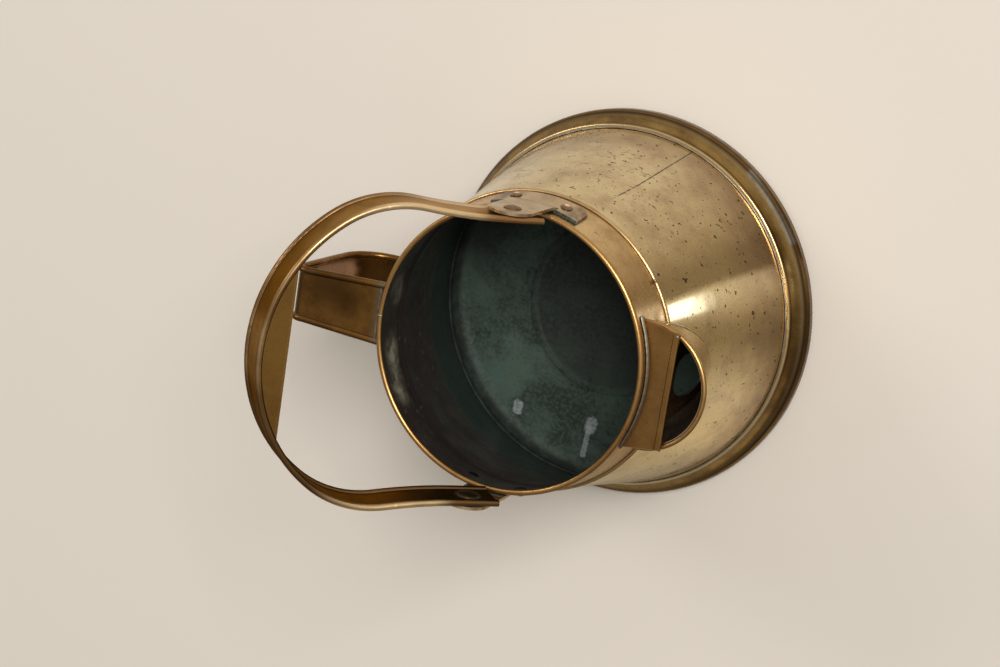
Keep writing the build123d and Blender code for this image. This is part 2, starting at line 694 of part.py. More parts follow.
GRIP_CHORD_S = BAIL_REACH - GRIP_DEPTH


def make_grip_chord_plate():
    half = BAIL_ROLL_SPAN / 2 + GRIP_SHEET / 2
    chord_back = GRIP_CHORD_S + GRIP_SHEET
    return crown_segment(GRIP_CHORD_S, -half, half) - crown_segment(chord_back, -half, half)


def make_grip_side(side):
    middle = side * BAIL_ROLL_SPAN / 2
    return crown_segment(GRIP_CHORD_S + GRIP_SHEET, middle - GRIP_SHEET / 2, middle + GRIP_SHEET / 2)


parts = {
    "body_shell": make_body_shell(),
    "base_plate": make_base_plate(),
    "foot_ring": make_foot_ring(),
    "foot_wire": make_foot_wire(),
    "neck_collar": make_neck_collar() - rivet_holes(),
    "rim_wire": make_rim_wire(),
    "spout_shell": make_spout_shell(),
    "spout_lip_wire": make_spout_lip_wire(),
    "spout_bridge_plate": make_bridge_plate(),
    "back_handle": make_back_handle(),
    "back_handle_wire_left": make_back_handle_wire(1),
    "back_handle_wire_right": make_back_handle_wire(-1),
    "ear_left": make_ear(1),
    "ear_right": make_ear(-1),
    "ear_rivets": make_ear_rivets(),
    "pivot_pin_left": make_pivot_pin(1),
    "pivot_pin_right": make_pivot_pin(-1),
    "pivot_washers": make_pivot_washers(),
    "bail_strap": make_bail_strap(),
    "bail_wire_upper": make_bail_wire(-1),
    "bail_wire_lower": make_bail_wire(1),
    "grip_chord_plate": make_grip_chord_plate(),
    "grip_side_upper": make_grip_side(-1),
    "grip_side_lower": make_grip_side(1),
}

os.makedirs("parts", exist_ok=True)
for name, shape in parts.items():
    export_step(shape, f"parts/{name}.step")
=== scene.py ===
import math
import random

import bmesh
import bpy
from mathutils import Matrix, Vector


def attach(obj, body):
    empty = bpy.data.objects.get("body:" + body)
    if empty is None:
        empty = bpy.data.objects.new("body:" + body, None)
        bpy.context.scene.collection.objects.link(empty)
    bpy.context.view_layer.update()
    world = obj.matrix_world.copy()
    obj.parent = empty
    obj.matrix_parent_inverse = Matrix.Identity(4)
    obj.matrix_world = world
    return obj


# A Victorian hot water can of sheet brass, in metres. It stands on its foot: +Z runs up its axis,
# +X points to the spout, -X to the back handle, and the bail turns about a line along Y.
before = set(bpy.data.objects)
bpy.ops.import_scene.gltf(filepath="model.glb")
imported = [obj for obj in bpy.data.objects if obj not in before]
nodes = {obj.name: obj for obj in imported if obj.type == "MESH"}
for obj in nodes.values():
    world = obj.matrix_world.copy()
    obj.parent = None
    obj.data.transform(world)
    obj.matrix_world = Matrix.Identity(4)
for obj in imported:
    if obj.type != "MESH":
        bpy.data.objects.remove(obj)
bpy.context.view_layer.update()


# ---------------------------------------------------------------------------------------------
# Body: one sheet of brass rolled to a cone and brazed up the back, polished outside and never
# inside. The outside has gone satin, with brown clouds towards the foot, dark pits and a scratch.
# ---------------------------------------------------------------------------------------------

def add(tree, kind, **settings):
    """A new node in a node tree. Each setting is a property of the node or one of its input sockets."""
    node = tree.nodes.new(kind)
    for name, value in settings.items():
        if hasattr(node, name):
            setattr(node, name, value)
        else:
            node.inputs[name.replace("_", " ")].default_value = value
    return node


def feed(tree, socket, value):
    """Sets a socket to a fixed value, or links another socket to it."""
    if isinstance(value, (int, float, tuple)):
        socket.default_value = value
    else:
        tree.links.new(value, socket)


def start_group(name, inputs, outputs):
    """An empty shader node group, the outputs of its first node and the inputs of its last one."""
    group = bpy.data.node_groups.new(name, "ShaderNodeTree")
    for socket, value in inputs.items():
        kind = "Float"
        if isinstance(value, tuple):
            kind = {3: "Vector", 4: "Color"}[len(value)]
        made = group.interface.new_socket(socket, in_out="INPUT", socket_type="NodeSocket" + kind)
        made.default_value = value
    for socket, kind in outputs.items():
        group.interface.new_socket(socket, in_out="OUTPUT", socket_type="NodeSocket" + kind)
    return group, group.nodes.new("NodeGroupInput").outputs, group.nodes.new("NodeGroupOutput").inputs


def place(tree, group, **values):
    """The outputs of a node group placed in a tree with its own values."""
    return add(tree, "ShaderNodeGroup", node_tree=group, **values).outputs


def step(tree, value, low, high, out_low=0.0, out_high=1.0):
    """A value carried smoothly from one range to another and held inside it."""
    node = add(tree, "ShaderNodeMapRange", interpolation_type="SMOOTHSTEP")
    for socket, given in zip(node.inputs, (value, low, high, out_low, out_high)):
        feed(tree, socket, given)
    return node.outputs["Result"]


def calculate(tree, operation, *values):
    """One step of arithmetic on sockets and numbers."""
    node = add(tree, "ShaderNodeMath", operation=operation)
    for socket, value in zip(node.inputs, values):
        feed(tree, socket, value)
    return node.outputs[0]


def blend(tree, share, under, over):
    """One colour laid over another. Each is a socket or a fixed colour."""
    node = add(tree, "ShaderNodeMix", data_type="RGBA")
    for socket, value in zip((node.inputs[0], node.inputs[6], node.inputs[7]), (share, under, over)):
        feed(tree, socket, value)
    return node.outputs[2]


def part_of(tree, mask, share):
    """A share of a mask, or where two masks meet."""
    return calculate(tree, "MULTIPLY", mask, share)


def most(tree, *masks):
    """The strongest of several masks."""
    strongest = masks[0]
    for mask in masks[1:]:
        strongest = calculate(tree, "MAXIMUM", strongest, mask)
    return strongest


def position(tree):
    """The place on the can, in metres."""
    return add(tree, "ShaderNodeTexCoord").outputs["Object"]


def axes(tree, where=None):
    """A position or direction along X, Y and Z, or else the place on the can."""
    split = add(tree, "ShaderNodeSeparateXYZ")
    feed(tree, split.inputs["Vector"], position(tree) if where is None else where)
    return split.outputs["X"], split.outputs["Y"], split.outputs["Z"]


def distance_from_axis(tree, first, second):
    """How far a place lies from an axis, by its two distances across it."""
    squares = calculate(tree, "ADD", calculate(tree, "POWER", first, 2), calculate(tree, "POWER", second, 2))
    return calculate(tree, "SQRT", squares)


def away_from(tree, value, middle):
    """How far a value is from a middle one, on either side."""
    return calculate(tree, "ABSOLUTE", calculate(tree, "SUBTRACT", value, middle))


def flattened(tree, where, times):
    """A position squeezed along the can's axis, so that clouds read there lie flat."""
    node = add(tree, "ShaderNodeMapping", Scale=(1.0, 1.0, times))
    feed(tree, node.inputs["Vector"], where)
    return node.outputs["Vector"]


def noise(tree, where, scale, detail=3.0, rough=0.55, twist=0.0):
    """A cloud read at a position, with so many features to the metre."""
    node = add(tree, "ShaderNodeTexNoise", Scale=scale, Detail=detail, Roughness=rough, Distortion=twist)
    feed(tree, node.inputs["Vector"], where)
    return node.outputs["Fac"]


def make_tarnish():
    """Old brass: brown clouds over bright metal, small dark pits in crowds, a few round spots."""
    group, given, result = start_group(
        "tarnish",
        {"Bright": (0.6, 0.4, 0.15, 1.0), "Brown": (0.2, 0.1, 0.03, 1.0), "Browning": 0.4, "Pitting": 0.5,
         "Gloss": 0.25, "Dents": 0.4},
        {"Color": "Color", "Roughness": "Float", "Height": "Float"})
    grain_shade = (0.05, 0.03, 0.015, 1.0)
    pit_brown = (0.08, 0.05, 0.034, 1.0)
    where = position(group)
    broad = noise(group, where, 14.0, 4.0, 0.6, 0.5)
    middle = noise(group, where, 75.0, 5.0, 0.62)
    fine = noise(group, where, 900.0, 2.0)
    cloud = calculate(group, "MULTIPLY_ADD", broad, 0.6, part_of(group, middle, 0.4))
    limit = calculate(group, "MULTIPLY_ADD", given["Browning"], -0.4, 0.72)
    brown = step(group, calculate(group, "SUBTRACT", cloud, limit), -0.14, 0.16)

    crowd = step(group, noise(group, where, 26.0, 3.0), 0.44, 0.6)
    grain = noise(group, flattened(group, where, 2.2), 270.0, 2.0, 0.5, 0.2)
    limit = calculate(group, "MULTIPLY_ADD", part_of(group, crowd, given["Pitting"]), -0.16, 0.77)
    pit = step(group, calculate(group, "SUBTRACT", grain, limit), -0.03, 0.08)
    spots = add(group, "ShaderNodeTexVoronoi", Scale=70.0)
    feed(group, spots.inputs["Vector"], where)
    pick = add(group, "ShaderNodeSeparateColor")
    feed(group, pick.inputs["Color"], spots.outputs["Color"])
    chosen = calculate(group, "GREATER_THAN", part_of(group, pick.outputs["Red"], given["Pitting"]), 0.8)
    size = step(group, pick.outputs["Green"], 0.0, 1.0, 0.07, 0.14)
    spot = part_of(group, step(group, spots.outputs["Distance"], size, part_of(group, size, 0.3)), chosen)
    pit = most(group, pit, part_of(group, spot, 0.6))

    colour = blend(group, brown, given["Bright"], given["Brown"])
    colour = blend(group, step(group, fine, 0.3, 0.7, 0.0, 0.14), colour, grain_shade)
    feed(group, result["Color"], blend(group, part_of(group, pit, 0.7), colour, pit_brown))
    rough = calculate(group, "MULTIPLY_ADD", brown, 0.1, given["Gloss"])
    rough = calculate(group, "ADD", rough, step(group, middle, 0.3, 0.7, -0.03, 0.05))
    feed(group, result["Roughness"], calculate(group, "MULTIPLY_ADD", pit, 0.2, rough))
    level = part_of(group, calculate(group, "SUBTRACT", broad, 0.5), given["Dents"])
    level = calculate(group, "MULTIPLY_ADD", fine, 0.0018, level)
    feed(group, result["Height"], calculate(group, "MULTIPLY_ADD", pit, -0.03, level))
    return group


def make_edge_wear():
    """The edges that hands and cloths rub bright."""
    group, given, result = start_group("edge_wear", {"Reach": 0.001, "Amount": 0.6}, {"Mask": "Float"})
    rounded = add(group, "ShaderNodeBevel", samples=6)
    feed(group, rounded.inputs["Radius"], given["Reach"])
    turned = add(group, "ShaderNodeVectorMath", operation="DOT_PRODUCT")
    feed(group, turned.inputs[0], rounded.outputs["Normal"])
    feed(group, turned.inputs[1], add(group, "ShaderNodeNewGeometry").outputs["Normal"])
    edge = step(group, turned.outputs["Value"], 0.99, 0.86)
    patchy = step(group, noise(group, position(group), 90.0), 0.3, 0.6, 0.35, 1.0)
    feed(group, result["Mask"], part_of(group, part_of(group, edge, patchy), given["Amount"]))
    return group


def make_hollows():
    """Corners within reach of a neighbouring surface, found by ambient occlusion."""
    group, given, result = start_group("hollows", {"Reach": 0.005, "Amount": 0.8}, {"Mask": "Float"})
    corner = add(group, "ShaderNodeAmbientOcclusion", samples=8)
    feed(group, corner.inputs["Distance"], given["Reach"])
    dark = step(group, corner.outputs["AO"], 0.92, 0.45)
    patchy = step(group, noise(group, position(group), 140.0), 0.25, 0.6, 0.5, 1.0)
    feed(group, result["Mask"], part_of(group, part_of(group, dark, patchy), given["Amount"]))
    return group


def make_level_band():
    """A band of heights on the can, full from Low to High, that fades out over Fade."""
    group, given, result = start_group(
        "level_band", {"Low": 0.0, "High": 0.1, "Fade": 0.005}, {"Mask": "Float"})
    height = axes(group)[2]
    above = step(group, height, calculate(group, "SUBTRACT", given["Low"], given["Fade"]), given["Low"])
    below = step(group, height, calculate(group, "ADD", given["High"], given["Fade"]), given["High"])
    feed(group, result["Mask"], part_of(group, above, below))
    return group


def make_streak():
    """A mark from one point to another with a ragged edge, at full strength over a share of its width."""
    group, given, result = start_group(
        "streak",
        {"Start": (0.0, 0.0, 0.0), "End": (0.0, 0.0, 0.1), "Width": 0.0005, "Ragged": 0.5, "Full": 0.6},
        {"Mask": "Float"})
    where = position(group)

    def vector(operation, first, second):
        node = add(group, "ShaderNodeVectorMath", operation=operation)
        feed(group, node.inputs[0], first)
        feed(group, node.inputs["Scale" if operation == "SCALE" else 1], second)
        return node.outputs

    run = vector("SUBTRACT", given["End"], given["Start"])[0]
    from_start = vector("SUBTRACT", where, given["Start"])[0]
    share = calculate(group, "DIVIDE", vector("DOT_PRODUCT", from_start, run)["Value"],
                      vector("DOT_PRODUCT", run, run)["Value"])
    held = add(group, "ShaderNodeClamp")
    feed(group, held.inputs["Value"], share)
    nearest = vector("SCALE", run, held.outputs["Result"])[0]
    away = vector("DISTANCE", from_start, nearest)["Value"]
    wander = calculate(group, "MULTIPLY", calculate(group, "SUBTRACT", noise(group, where, 300.0), 0.5), 4.0)
    width = part_of(group, given["Width"], calculate(group, "MULTIPLY_ADD", wander, given["Ragged"], 1.0))
    feed(group, result["Mask"], step(group, away, width, part_of(group, width, given["Full"])))
    return group


tarnish = make_tarnish()
edge_wear = make_edge_wear()
hollows = make_hollows()
level_band = make_level_band()
streak = make_streak()
# Dark brown: dirt in scratches, and painted shade in corners and creases.
DIRT_AND_SHADE = (0.035, 0.022, 0.012, 1.0)


class Finish:
    """A material under way: its node tree, its main shader and the last colour that was laid on."""

    def __init__(self, name, **settings):
        self.material = bpy.data.materials.new(name)
        self.material.use_nodes = True
        self.tree = self.material.node_tree
        self.shader = self.tree.nodes["Principled BSDF"]
        for socket, value in settings.items():
            self.shader.inputs[socket.replace("_", " ")].default_value = value
        self.colour = None

    def lay(self, share, colour, mask):
        """Lays a share of a colour over the last one, where a mask says so."""
        self.colour = blend(self.tree, part_of(self.tree, mask, share), self.colour, colour)
        feed(self.tree, self.shader.inputs["Base Color"], self.colour)

    def relief(self, height, depth):
        """Raises and sinks the surface by a height of 0 to 1, over a depth in metres."""
        bump = add(self.tree, "ShaderNodeBump", Strength=1.0, Distance=depth)
        feed(self.tree, bump.inputs["Height"], height)
        feed(self.tree, self.shader.inputs["Normal"], bump.outputs["Normal"])

    def band(self, low, high, fade):
        """A mask between two heights on the can."""
        return place(self.tree, level_band, Low=low, High=high, Fade=fade)["Mask"]

    def mark(self, start, end, width, ragged, full=0.6):
        """A mask round the line between two points."""
        return place(self.tree, streak, Start=start, End=end, Width=width, Ragged=ragged, Full=full)["Mask"]

    def cloud(self, scale, low, high, detail=3.0, rough=0.55, twist=0.0, least=0.0, greatest=1.0):
        """A mask of clouds, with so many to the metre, that fades in from a low level to a high one."""
        level = noise(self.tree, position(self.tree), scale, detail, rough, twist)
        return step(self.tree, level, low, high, least, greatest)


def old_brass(name, bright, brown, browning, gloss=0.22, pitting=0.6, dents=0.3, rubbed=None, wear=0.6,
              wear_reach=0.0008, dirt_and_shade=0.8, dirt_and_shade_reach=0.004, metal=1.0, depth=0.0012):
    """Tarnished brass, rubbed bright on its edges, with dirt and painted shade darkening its corners."""
    finish = Finish(name, Metallic=metal)
    finish.skin = add(finish.tree, "ShaderNodeGroup", node_tree=tarnish, Bright=bright, Brown=brown,
                      Browning=browning, Pitting=pitting, Gloss=gloss, Dents=dents)
    finish.colour = finish.skin.outputs["Color"]
    if wear:
        worn = place(finish.tree, edge_wear, Reach=wear_reach, Amount=wear)["Mask"]
        finish.lay(1.0, rubbed or bright, worn)
    # Painted shade with dirt: corners that ambient occlusion finds are darkened and made rougher.
    corner_dirt_and_shade = place(finish.tree, hollows, Reach=dirt_and_shade_reach, Amount=dirt_and_shade)["Mask"]
    finish.lay(1.0, DIRT_AND_SHADE, corner_dirt_and_shade)
    rough = calculate(finish.tree, "MULTIPLY_ADD", corner_dirt_and_shade, 0.35, finish.skin.outputs["Roughness"])
    feed(finish.tree, finish.shader.inputs["Roughness"], rough)
    finish.relief(finish.skin.outputs["Height"], depth)
    return finish


def dress(name, *finishes):
    """Gives a CAD node its materials, the first one on every face."""
    mesh = nodes[name].data
    mesh.materials.clear()
    for finish in finishes:
        mesh.materials.append(finish.material)
    for face in mesh.polygons:
        face.material_index = 0
    return mesh


def line_inside(mesh, middle_x=0.0):
    """Gives the second material to the faces that look towards an upright axis."""
    for face in mesh.polygons:
        outwards = Vector((face.center.x - middle_x, face.center.y, 0.0))
        if face.normal.dot(outwards) < 0:
            face.material_index = 1


FOOT_TOP = 0.0184
BODY_LOW_RADIUS = 0.105
BODY_TOP_RADIUS = 0.0825
BODY_TOP = 0.1325
SCRATCH_FOOT = (0.0309, 0.1003, FOOT_TOP)
SCRATCH_MIDDLE = (0.0274, 0.0877, 0.085)
SCRATCH_TOP = (0.0249, 0.0832, 0.1106)
SEAM = ((-BODY_LOW_RADIUS, 0.0, FOOT_TOP), (-BODY_TOP_RADIUS, 0.0, BODY_TOP))
FRONT_CLOUD = ((0.094, 0.045, 0.02), (0.062, 0.085, 0.02))
BODY_SATIN = (0.84, 0.67, 0.38, 1.0)
BODY_BROWN = (0.5, 0.33, 0.19, 1.0)
VIOLET_BROWN = (0.42, 0.3, 0.24, 1.0)
RED_BROWN = (0.46, 0.3, 0.19, 1.0)
BRAZING = (0.55, 0.46, 0.26, 1.0)


def make_body_brass():
    """The polished outside: most pits on its left side, brown clouds low down, a scratch that ends in dots,
    and the pale seam up the back."""
    brass = old_brass("body_brass", BODY_SATIN, BODY_BROWN, 0.36, gloss=0.12, pitting=1.0, wear=0.0,
                      dirt_and_shade=0.5)
    tree = brass.tree
    sideways = axes(tree)[1]
    feed(tree, brass.skin.inputs["Pitting"], step(tree, sideways, 0.03, 0.07, 0.3, 1.0))
    violet = brass.cloud(48.0, 0.5, 0.66, twist=0.6)
    brass.lay(0.3, VIOLET_BROWN, part_of(tree, violet, step(tree, sideways, 0.06, 0.02)))
    low_cloud = brass.band(0.0, 0.02, 0.035)
    front_cloud = brass.mark(*FRONT_CLOUD, width=0.06, ragged=0.1, full=0.2)
    patchy = brass.cloud(40.0, 0.3, 0.65, detail=5.0, rough=0.65, least=0.35)
    brass.lay(0.75, RED_BROWN, most(tree, part_of(tree, low_cloud, 0.4), part_of(tree, front_cloud, patchy)))
    brass.lay(0.8, DIRT_AND_SHADE, brass.mark(SCRATCH_MIDDLE, SCRATCH_FOOT, width=0.0005, ragged=0.6))
    brass.lay(0.8, DIRT_AND_SHADE, brass.mark(SCRATCH_TOP, SCRATCH_MIDDLE, width=0.0004, ragged=1.6))
    brass.lay(0.6, BRAZING, brass.mark(*SEAM, width=0.0009, ragged=0.3))
    return brass


WALL_BROWN = (0.05, 0.036, 0.032, 1.0)
WALL_DARK = (0.026, 0.016, 0.0165, 1.0)
WALL_GREEN = (0.022, 0.034, 0.028, 1.0)
WALL_HIGHLIGHT = (0.42, 0.39, 0.28, 1.0)
SCUFF = (0.17, 0.15, 0.12, 1.0)
PALE_STREAK = (0.15, 0.15, 0.12, 1.0)
SEAM_DARK = (0.014, 0.013, 0.012, 1.0)
WATER_MARK = (0.1, 0.1, 0.085, 1.0)
GREEN_TOP = 0.068           # up to where standing water has turned the wall green
LONG_HIGHLIGHT = ((-0.0755, -0.0225, 0.147), (-0.067, -0.0425, 0.149))
SHORT_HIGHLIGHT = ((-0.0795, 0.016, 0.15), (-0.081, 0.008, 0.142))
WALL_STREAKS = (((-0.0714, -0.0499, 0.1034), (-0.0564, -0.0658, 0.1058), 0.0007),
                ((-0.0644, -0.0487, 0.1384), (-0.0503, -0.0619, 0.1439), 0.0006),
                ((-0.0448, -0.0712, 0.1188), (-0.0288, -0.0765, 0.1258), 0.0006))


def make_bare_wall():
    """The inside of the sheet: dark, with a painted highlight below the back of the rim, scuffs and
    streaks, a dark line at the neck's joint, and green below a water mark."""
    wall = old_brass("unpolished_wall", WALL_BROWN, WALL_DARK, 0.5, gloss=0.33, pitting=0.9, wear=0.0,
                     dirt_and_shade=0.3, metal=0.3)
    tree = wall.tree
    # A painted highlight: a pale patch below the back of the rim, broken up by noise.
    highlight_mask = most(tree, wall.mark(*LONG_HIGHLIGHT, width=0.013, ragged=0.15, full=0.0),
                 part_of(tree, wall.mark(*SHORT_HIGHLIGHT, width=0.01, ragged=0.15, full=0.0), 0.6))
    highlight_breakup = wall.cloud(110.0, 0.36, 0.62, detail=5.0, rough=0.65, twist=0.4, least=0.1)
    wall.lay(1.0, WALL_HIGHLIGHT, part_of(tree, highlight_mask, highlight_breakup))
    rings = step(tree, noise(tree, flattened(tree, position(tree), 14.0), 60.0), 0.6, 0.72)
    wall.lay(0.4, SCUFF, part_of(tree, rings, wall.cloud(45.0, 0.48, 0.6)))
    for start, end, width in WALL_STREAKS:
        wall.lay(0.5, PALE_STREAK, wall.mark(start, end, width, ragged=1.4, full=0.2))
    wall.lay(1.0, WALL_GREEN, wall.band(0.0, GREEN_TOP, 0.016))
    wall.lay(0.5, SEAM_DARK, wall.band(0.131, 0.1362, 0.0008))
    wall.lay(0.25, WATER_MARK, wall.band(0.0756, 0.076, 0.0006))
    return wall


body_brass = make_body_brass()
bare_wall = make_bare_wall()
line_inside(dress("body_shell", body_brass, bare_wall))


# ---------------------------------------------------------------------------------------------
# Base: a pan of sheet brass soldered in above the foot. Years of standing water have left it
# green all over, darker inside a faint turned ring, with two marks of lime.
# ---------------------------------------------------------------------------------------------

BASE_TOP = 0.024
BASE_RING_RADIUS = 0.05
CRUST_DARK = (0.02, 0.03, 0.024, 1.0)
CRUST_PALE = (0.07, 0.105, 0.085, 1.0)
STANDING_WATER = (0.02, 0.023, 0.02, 1.0)
BLUE_GREEN = (0.045, 0.13, 0.12, 1.0)
SHADED_CRUST = (0.016, 0.018, 0.015, 1.0)
EDGE_DARK = (0.014, 0.017, 0.014, 1.0)
LIME = (0.34, 0.39, 0.4, 1.0)
FLECKED_SIDE = ((-0.062, 0.03, BASE_TOP), (-0.062, -0.045, BASE_TOP))
SHADOWED_SIDE = ((-0.097, 0.03, 0.026), (-0.07, 0.07, 0.026))
LIME_MARKS = (((-0.0487, -0.0725, BASE_TOP), (-0.0487, -0.0755, BASE_TOP), 0.0038),
              ((0.0002, -0.0705, BASE_TOP), (-0.0008, -0.0745, BASE_TOP), 0.0044),
              ((-0.0014, -0.0745, BASE_TOP), (-0.0026, -0.0915, 0.0245), 0.0021))


def make_verdigris():
    """Green copper salts: a dull dark green, powdered paler in patches and speckled."""
    group, given, result = start_group(
        "verdigris", {"Dark": (0.02, 0.03, 0.025, 1.0), "Pale": (0.07, 0.11, 0.09, 1.0), "Powder": 0.5},
        {"Color": "Color", "Roughness": "Float", "Height": "Float"})
    speck = (0.012, 0.012, 0.01, 1.0)
    where = position(group)
    patch = noise(group, where, 28.0, 6.0, 0.68, 0.4)
    fleck = noise(group, where, 420.0, 3.0, 0.6)
    pale = step(group, calculate(group, "MULTIPLY_ADD", given["Powder"], 0.4, patch), 0.56, 0.88)
    colour = blend(group, pale, given["Dark"], given["Pale"])
    colour = blend(group, step(group, fleck, 0.42, 0.66, 0.0, 0.5), colour, given["Pale"])
    feed(group, result["Color"], blend(group, step(group, fleck, 0.4, 0.28, 0.0, 0.5), colour, speck))
    feed(group, result["Roughness"], step(group, pale, 0.0, 1.0, 0.62, 0.9))
    feed(group, result["Height"], calculate(group, "MULTIPLY_ADD", fleck, 0.3, part_of(group, patch, 0.5)))
    return group


verdigris = make_verdigris()


def green_crust(name, dark, pale, powder):
    """Verdigris thick enough to hide the brass."""
    finish = Finish(name, Specular_IOR_Level=0.3)
    crust = place(finish.tree, verdigris, Dark=dark, Pale=pale, Powder=powder)
    finish.colour = crust["Color"]
    feed(finish.tree, finish.shader.inputs["Base Color"], finish.colour)
    feed(finish.tree, finish.shader.inputs["Roughness"], crust["Roughness"])
    finish.relief(crust["Height"], 0.0004)
    return finish


def make_base_crust():
    """The base's verdigris: dark in the ring, blue-green flecks, a painted shadow towards the back
    handle, a dark edge, and lime. Two of the lime's streaks run together."""
    crust = green_crust("base_verdigris", CRUST_DARK, CRUST_PALE, 0.5)
    tree = crust.tree
    from_axis = distance_from_axis(tree, *axes(tree)[:2])
    inside_ring = step(tree, from_axis, BASE_RING_RADIUS + 0.006, BASE_RING_RADIUS - 0.006)
    crust.lay(0.6, STANDING_WATER, inside_ring)
    flecks = part_of(tree, crust.cloud(55.0, 0.54, 0.68, detail=4.0, rough=0.6, twist=0.5),
                     crust.cloud(700.0, 0.4, 0.6, detail=2.0))
    crust.lay(0.4, BLUE_GREEN, part_of(tree, flecks, crust.mark(*FLECKED_SIDE, width=0.03, ragged=0.3)))
    # A painted shadow: the crust darkened along the base's edge between the back handle and the left ear.
    crust.lay(0.6, SHADED_CRUST, crust.mark(*SHADOWED_SIDE, width=0.036, ragged=0.1, full=0.2))
    broken = crust.cloud(90.0, 0.4, 0.6, detail=4.0, rough=0.6, least=0.55, greatest=0.9)
    crust.lay(1.0, EDGE_DARK, part_of(tree, crust.band(0.028, 0.04, 0.003), broken))
    for start, end, width in LIME_MARKS:
        powdery = crust.cloud(600.0, 0.35, 0.6, least=0.55)
        crust.lay(0.7, LIME, part_of(tree, crust.mark(start, end, width, ragged=0.25), powdery))
    return crust


dress("base_plate", make_base_crust())


# ---------------------------------------------------------------------------------------------
# Foot: a ring spun from sheet brass, hollow between its ridge and the bead at its top, rolled
# over an iron wire at the bottom and soldered to the body. Its outer band is darker.
# ---------------------------------------------------------------------------------------------

FOOT_GOLD = (0.42, 0.27, 0.095, 1.0)
FOOT_BROWN = (0.17, 0.095, 0.032, 1.0)
FOOT_BAND_DARK = (0.12, 0.07, 0.035, 1.0)
RIDGE_HIGHLIGHT = (0.5, 0.45, 0.36, 1.0)
GREY_BLUE_HIGHLIGHT = (0.5, 0.54, 0.52, 1.0)
# Rubbed gold for worn edges, and for a painted highlight along the foot's bead.
RUBBED_GOLD_AND_HIGHLIGHT = (0.86, 0.66, 0.36, 1.0)
GREY_HIGHLIGHT_RUN = ((0.0955, 0.0615, 0.0068), (0.064, 0.0938, 0.0068))
FOOT_LINE_FADE = 0.0005
FOOT_SEAM_RADIUS = 0.1054
FOOT_SEAM_HEIGHT = 0.0185


def make_foot_brass():
    """The foot: a dark band below, a painted grey-blue highlight left of the spout, painted highlight lines
    on the ridge and the bead, and painted shade lines below them.
    """
    brass = old_brass("foot_brass", FOOT_GOLD, FOOT_BROWN, 0.55, gloss=0.2, wear=0.0, dirt_and_shade_reach=0.0025,
                      dents=0.15, depth=0.0006)
    brass.lay(0.6, FOOT_BAND_DARK, brass.band(0.0, 0.0084, 0.0012))
    # Painted highlights: a thin pale line along the ridge and a gold one along the bead.
    brass.lay(0.1, RIDGE_HIGHLIGHT, brass.band(0.0088, 0.0092, FOOT_LINE_FADE))
    brass.lay(0.5, RUBBED_GOLD_AND_HIGHLIGHT, brass.band(0.0182, 0.0186, FOOT_LINE_FADE))
    # A painted highlight: a grey-blue streak along the band, left of the spout.
    brass.lay(0.4, GREY_BLUE_HIGHLIGHT, brass.mark(*GREY_HIGHLIGHT_RUN, width=0.0036, ragged=0.3, full=0.2))
    # Painted shade: thin dark lines just below the ridge and just below the bead.
    for low, high in ((0.0074, 0.0078), (0.0152, 0.0158)):
        brass.lay(0.6, DIRT_AND_SHADE, brass.band(low, high, FOOT_LINE_FADE))
    return brass


dress("foot_ring", make_foot_brass())
iron = old_brass("iron", (0.16, 0.145, 0.13, 1.0), (0.07, 0.035, 0.02, 1.0), 0.5, gloss=0.4, wear=0.3)
dress("foot_wire", iron)

BEAD_SIDES = 8
BEAD_END = 0.45             # width of a bead's ends, as a share of the bead


def bead(name, places, radius, finish, closed=False, flat=1.0, lumps=0.25):
    """A run of solder or crust along a line of places, each a point with the direction it stands out in."""
    random.seed(name)
    count = len(places)
    mesh = bpy.data.meshes.new(name)
    shape = bmesh.new()
    rings = []
    for index, (point, out) in enumerate(places):
        before = places[index - 1 if closed or index else 0][0]
        after = places[(index + 1) % count if closed or index < count - 1 else index][0]
        across = (after - before).cross(out).normalized()
        size = radius * (1.0 + random.uniform(-lumps, lumps))
        if not closed and index in (0, count - 1):
            size = size * BEAD_END
        turns = [math.tau * side / BEAD_SIDES for side in range(BEAD_SIDES)]
        rings.append([
            shape.verts.new(point + across * (math.cos(turn) * size) + out * (math.sin(turn) * size * flat))
            for turn in turns])
    for index in range(count if closed else count - 1):
        first = rings[index]
        second = rings[(index + 1) % count]
        for side in range(BEAD_SIDES):
            following = (side + 1) % BEAD_SIDES
            shape.faces.new((first[side], first[following], second[following], second[side]))
    if not closed:
        shape.faces.new(rings[0][::-1])
        shape.faces.new(rings[-1])
    for face in shape.faces:
        face.smooth = True
    bmesh.ops.recalc_face_normals(shape, faces=shape.faces)
    shape.to_mesh(mesh)
    shape.free()
    mesh.materials.append(finish.material)
    piece = bpy.data.objects.new(name, mesh)
    bpy.context.collection.objects.link(piece)
    piece.modifiers.new("smooth", "SUBSURF")
    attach(piece, "can")


def arc_places(radius, height, first, last, count):
    """Points round the can's axis from one angle to another, in degrees, standing out and up."""
    places = []
    for index in range(count):
        angle = math.radians(first + (last - first) * index / (count - 1))
        out = Vector((math.cos(angle), math.sin(angle), 0.0))
        places.append((out * radius + Vector((0, 0, height)), (out + Vector((0, 0, 0.8))).normalized()))
    return places


def line_places(start, end, count, out):
    """Points along a straight line, standing out in one direction."""
    return [(Vector(start).lerp(Vector(end), index / (count - 1)), Vector(out).normalized())
            for index in range(count)]


solder = old_brass("solder", (0.44, 0.42, 0.36, 1.0), (0.2, 0.17, 0.12, 1.0), 0.5, gloss=0.42, wear=0.0,
                   dirt_and_shade=0.4, dirt_and_shade_reach=0.002, dents=0.0)
bead("foot_solder", arc_places(FOOT_SEAM_RADIUS, FOOT_SEAM_HEIGHT, 0, 358.5, 240), 0.0005, solder,
     closed=True, flat=0.7, lumps=0.4)


